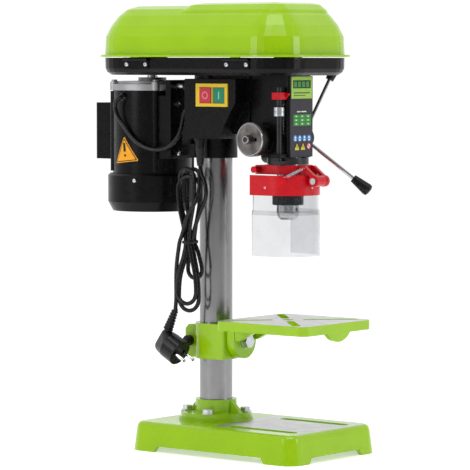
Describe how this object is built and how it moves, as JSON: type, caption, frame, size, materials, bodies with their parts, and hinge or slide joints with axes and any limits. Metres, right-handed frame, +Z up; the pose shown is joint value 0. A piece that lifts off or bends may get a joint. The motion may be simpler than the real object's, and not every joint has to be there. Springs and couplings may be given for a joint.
{
  "type": "drill press",
  "caption": "Bench drill press with a belt-driven head on a round column, a tilting slotted table, a keyed chuck behind a flip-up clear guard and three feed levers.",
  "frame": {"origin": "centre of the machine's bounding box in plan, on the bench under its feet", "axes": "+X to the operator's right, -Y out of the machine's front, +Z up along the column"},
  "size_m": [0.2201, 0.4195, 0.62],
  "materials": {
    "green_paint": "gloss paint",
    "black_paint": "satin paint",
    "red_paint": "gloss paint",
    "bright_steel": "ground",
    "dark_steel": "oiled",
    "cap_steel": "satin",
    "chrome": "polished",
    "pulley_alloy": "turned",
    "belt_rubber": "matt",
    "cord_rubber": "satin",
    "black_plastic": "moulded",
    "panel_print": "printed panel",
    "yellow_plastic": "moulded",
    "red_plastic": "moulded",
    "green_plastic": "moulded",
    "clear_plastic": "clear moulding"
  },
  "bodies": {
    "stand": {"base_casting": "green_paint", "column_flange": "green_paint", "flange_bolts": "dark_steel", "column_tube": "bright_steel", "head_casting": "black_paint", "front_panel": "panel_print", "depth_scale": "bright_steel", "sleeve_bearings": "bright_steel", "pulley_pan": "black_paint", "cover_hinges": "black_paint", "v_belt": "belt_rubber", "switch_frame": "yellow_plastic", "return_spring": "dark_steel", "spring_cap": "cap_steel", "cord_gland": "cord_rubber", "power_cord": "cord_rubber", "cord_hank": "cord_rubber", "mains_plug": "cord_rubber"},
    "cover": {"belt_cover": "green_paint"},
    "motor": {"motor_housing": "black_paint", "motor_top_bell": "pulley_alloy", "motor_fan_cover": "black_paint", "motor_stator": "dark_steel", "capacitor_box": "black_paint", "motor_plate": "black_paint", "slide_bars": "bright_steel", "motor_lead": "cord_rubber"},
    "rotor": {"motor_rotor": "bright_steel", "motor_pulley": "pulley_alloy", "motor_fan": "black_plastic"},
    "drive": {"spindle_pulley": "pulley_alloy"},
    "tension_lock": {"tension_lock_screw": "dark_steel"},
    "stop": {"stop_button": "red_plastic"},
    "start": {"start_button": "green_plastic"},
    "quill": {"quill": "bright_steel", "quill_bearings": "bright_steel", "depth_collar": "dark_steel", "depth_rod": "dark_steel", "depth_pointer": "red_paint", "guard_collar": "red_paint", "guard_pin": "bright_steel", "guard_spring": "bright_steel"},
    "spindle": {"spindle": "bright_steel", "chuck_body": "bright_steel"},
    "chuck_ring": {"chuck_sleeve": "dark_steel"},
    "jaw_1": {"chuck_jaw_1": "bright_steel"},
    "jaw_2": {"chuck_jaw_2": "bright_steel"},
    "jaw_3": {"chuck_jaw_3": "bright_steel"},
    "feed": {"pinion_shaft": "bright_steel", "feed_hub": "dark_steel", "feed_levers": "chrome", "lever_knobs": "black_plastic"},
    "depth_stop": {"depth_nuts": "bright_steel"},
    "guard": {"guard_holder": "red_paint", "shield_upper": "clear_plastic"},
    "shield": {"shield_lower": "clear_plastic"},
    "bracket": {"table_bracket": "green_paint", "tilt_bolt": "bright_steel"},
    "table": {"table_plate": "green_paint"},
    "table_clamp": {"table_clamp_lever": "dark_steel"}
  },
  "joints": [
    {"name": "cover_open", "type": "hinge", "parent": "stand", "child": "cover", "pos_m": [-0.1032, -0.013, 0.543], "axis": [0, -1, 0], "range_deg": [0, 95]},
    {"name": "motor_tension", "type": "slide", "parent": "stand", "child": "motor", "axis": [0, 1, 0], "range_m": [-0.012, 0], "deforming": ["v_belt", "motor_lead"]},
    {"name": "motor_spin", "type": "hinge", "parent": "motor", "child": "rotor", "pos_m": [-0.012, 0.1225, 0.43], "axis": [0, 0, 1], "continuous": true},
    {"name": "pulley_spin", "type": "hinge", "parent": "stand", "child": "drive", "pos_m": [-0.012, -0.121, 0.56], "axis": [0, 0, 1], "continuous": true},
    {"name": "tension_lock_turn", "type": "hinge", "parent": "stand", "child": "tension_lock", "pos_m": [0.036, 0.016, 0.506], "axis": [1, 0, 0], "range_deg": [0, 90]},
    {"name": "stop_press", "type": "slide", "parent": "stand", "child": "stop", "axis": [1, 0, 0], "range_m": [0, 0.003], "stiffness_N_per_m": 800},
    {"name": "start_press", "type": "slide", "parent": "stand", "child": "start", "axis": [1, 0, 0], "range_m": [0, 0.003], "stiffness_N_per_m": 800},
    {"name": "feed_spin", "type": "hinge", "parent": "stand", "child": "feed", "pos_m": [-0.012, -0.095, 0.434], "axis": [1, 0, 0], "range_deg": [0, 327.4], "stiffness_Nm_per_rad": 0.12, "springref_deg": -85.94},
    {"name": "quill_slide", "type": "slide", "parent": "stand", "child": "quill", "axis": [0, 0, -1], "range_m": [0, 0.05]},
    {"name": "spindle_spin", "type": "hinge", "parent": "quill", "child": "spindle", "pos_m": [-0.012, -0.121, 0.43], "axis": [0, 0, 1], "continuous": true},
    {"name": "chuck_turn", "type": "hinge", "parent": "spindle", "child": "chuck_ring", "pos_m": [-0.012, -0.121, 0.36], "axis": [0, 0, 1], "range_deg": [-720, 660]},
    {"name": "jaw_1_slide", "type": "slide", "parent": "spindle", "child": "jaw_1", "axis": [0, -0.2079, -0.9781], "range_m": [-0.0121, 0.0111]},
    {"name": "jaw_2_slide", "type": "slide", "parent": "spindle", "child": "jaw_2", "axis": [0.1801, 0.104, -0.9781], "range_m": [-0.0121, 0.0111]},
    {"name": "jaw_3_slide", "type": "slide", "parent": "spindle", "child": "jaw_3", "axis": [-0.1801, 0.104, -0.9781], "range_m": [-0.0121, 0.0111]},
    {"name": "depth_nut_slide", "type": "slide", "parent": "quill", "child": "depth_stop", "axis": [0, 0, 1], "range_m": [-0.045, 0.009]},
    {"name": "guard_flip", "type": "hinge", "parent": "quill", "child": "guard", "pos_m": [-0.012, -0.175, 0.378], "axis": [-1, 0, 0], "range_deg": [0, 90], "deforming": ["guard_spring"]},
    {"name": "shield_slide", "type": "slide", "parent": "guard", "child": "shield", "axis": [0, 0, 1], "range_m": [0, 0.017]},
    {"name": "table_height", "type": "slide", "parent": "stand", "child": "bracket", "axis": [0, 0, -1], "range_m": [-0.04, 0.055]},
    {"name": "table_tilt", "type": "hinge", "parent": "bracket", "child": "table", "pos_m": [-0.012, -0.039, 0.152], "axis": [0, 1, 0], "range_deg": [-45, 45]},
    {"name": "table_clamp_turn", "type": "hinge", "parent": "bracket", "child": "table_clamp", "pos_m": [-0.012, 0.042, 0.149], "axis": [-1, 0, 0], "range_deg": [0, 70]}
  ],
  "couplings": [
    {"joint": "pulley_spin", "follows": "motor_spin", "ratio": 0.8125},
    {"joint": "spindle_spin", "follows": "motor_spin", "ratio": 0.8125},
    {"joint": "quill_slide", "follows": "feed_spin", "m_per_rad": 0.00875},
    {"joint": "jaw_1_slide", "follows": "chuck_turn", "m_per_rad": 0.000955},
    {"joint": "jaw_2_slide", "follows": "chuck_turn", "m_per_rad": 0.000955},
    {"joint": "jaw_3_slide", "follows": "chuck_turn", "m_per_rad": 0.000955}
  ]
}
